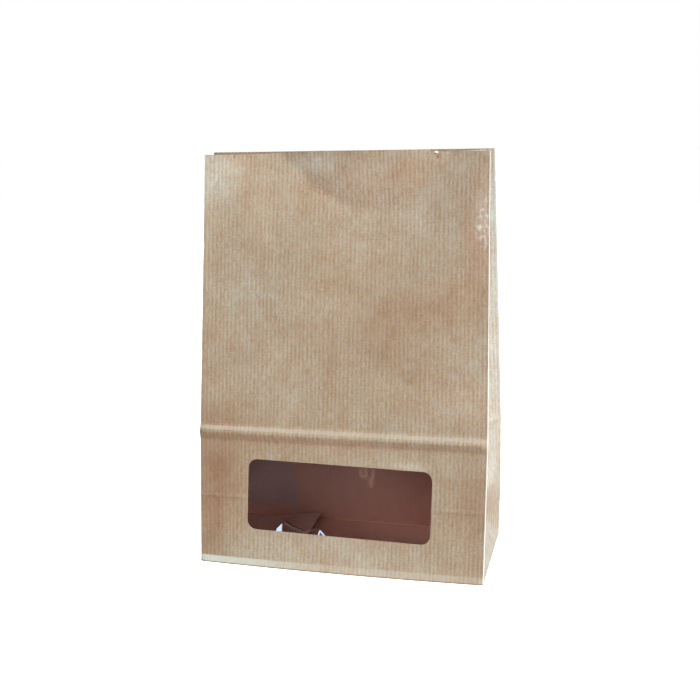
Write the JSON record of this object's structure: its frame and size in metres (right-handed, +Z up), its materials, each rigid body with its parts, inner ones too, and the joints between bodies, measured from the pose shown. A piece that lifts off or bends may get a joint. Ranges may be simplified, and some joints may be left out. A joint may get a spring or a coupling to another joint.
{
  "type": "paper bread bag",
  "caption": "Block-bottom kraft paper bag with folded side gussets, standing open and empty, with a clear rounded window low in its front wall.",
  "frame": {"origin": "middle of the base, on the surface the bag stands on", "axes": "+Z up to the mouth, +X along the width of the bag, -Y out of the wall that has the window"},
  "size_m": [0.1836, 0.0878, 0.254],
  "materials": {
    "kraft_paper": "matte",
    "clear_film": "gloss"
  },
  "bodies": {
    "root": {"bag": "kraft_paper", "window_film": "clear_film"}
  },
  "joints": []
}
